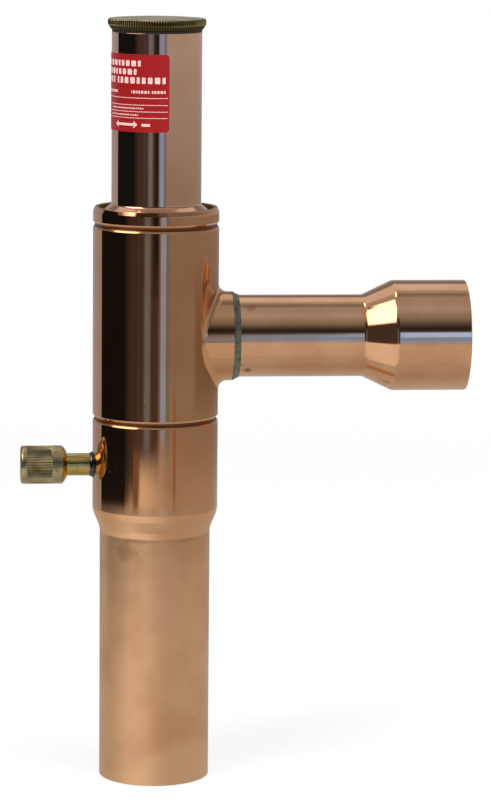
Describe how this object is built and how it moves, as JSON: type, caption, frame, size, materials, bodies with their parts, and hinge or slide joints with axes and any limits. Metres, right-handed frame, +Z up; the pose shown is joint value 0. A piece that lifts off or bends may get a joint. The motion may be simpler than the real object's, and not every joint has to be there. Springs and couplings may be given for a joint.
{
  "type": "evaporator pressure regulator",
  "caption": "Copper suction-line pressure regulator with solder sockets at the bottom and side, a spring bonnet under a screw cap and a capped gauge port.",
  "frame": {"origin": "centre of the inlet socket's open end, at the bottom of the body", "axes": "+Z up the body from the inlet to the cap, +X along the outlet branch, -X along the gauge port"},
  "size_m": [0.151, 0.0426, 0.259],
  "materials": {
    "polished_copper": "mirror-polished drawn copper tube",
    "satin_copper": "satin drawn copper tube",
    "braze": "dull silver brazing alloy",
    "brass": "turned brass",
    "bronze": "thin rolled bronze",
    "steel": "plain steel",
    "seal": "black fibre and rubber seals",
    "label": "printed film, plain red with white bars"
  },
  "bodies": {
    "housing": {"body_tube": "polished_copper", "bonnet": "polished_copper", "outlet_stub": "satin_copper", "outlet_braze": "braze", "rating_label": "label", "gauge_stub": "brass", "gauge_braze": "braze", "core_body": "brass", "core_spring": "steel", "threaded_sleeve": "brass", "main_spring": "steel", "valve_seat": "brass", "bellows": "bronze", "bellows_flange": "brass", "damper_bracket": "steel", "damper_cylinder": "brass"},
    "valve": {"valve_stem": "steel", "valve_plate": "brass", "bellows_cup": "brass", "stem_nut": "steel", "damper_piston": "brass", "piston_nut": "steel", "lower_spring_plate": "steel"},
    "setting_plate": {"upper_spring_plate": "steel"},
    "setting_screw": {"setting_screw": "brass"},
    "cap_seal": {"cap_gasket": "seal"},
    "cap": {"protective_cap": "brass"},
    "port_cap_seal": {"gauge_cap_gasket": "seal"},
    "port_cap": {"gauge_cap": "brass"},
    "core": {"core_pin": "brass", "core_seal": "seal"}
  },
  "joints": [
    {"name": "valve_lift", "type": "slide", "parent": "housing", "child": "valve", "axis": [0, 0, 1], "range_m": [0, 0.008], "stiffness_N_per_m": 10000, "springref_m": -0.01, "deforming": ["bellows", "main_spring"]},
    {"name": "setting_travel", "type": "slide", "parent": "housing", "child": "setting_plate", "axis": [0, 0, -1], "range_m": [-0.004, 0.005], "deforming": ["main_spring"]},
    {"name": "setting_turn", "type": "hinge", "parent": "setting_plate", "child": "setting_screw", "pos_m": [0, 0, 0.236], "axis": [0, 0, -1], "range_deg": [-961, 1201]},
    {"name": "cap_travel", "type": "slide", "parent": "housing", "child": "cap_seal", "axis": [0, 0, 1], "range_m": [0, 0.01]},
    {"name": "cap_turn", "type": "hinge", "parent": "cap_seal", "child": "cap", "pos_m": [0, 0, 0.255], "axis": [0, 0, 1], "range_deg": [0, 2401]},
    {"name": "port_cap_travel", "type": "slide", "parent": "housing", "child": "port_cap_seal", "axis": [-1, 0, 0], "range_m": [0, 0.01]},
    {"name": "port_cap_turn", "type": "hinge", "parent": "port_cap_seal", "child": "port_cap", "pos_m": [-0.038, 0, 0.1079], "axis": [-1, 0, 0], "range_deg": [0, 2836]},
    {"name": "core_press", "type": "slide", "parent": "housing", "child": "core", "axis": [1, 0, 0], "range_m": [0, 0.001], "stiffness_N_per_m": 300, "springref_m": -0.003, "deforming": ["core_spring"]}
  ],
  "couplings": [
    {"joint": "setting_turn", "follows": "setting_travel", "rad_per_m": 4188.8},
    {"joint": "cap_turn", "follows": "cap_travel", "rad_per_m": 4188.8},
    {"joint": "port_cap_turn", "follows": "port_cap_travel", "rad_per_m": 4947.4}
  ]
}
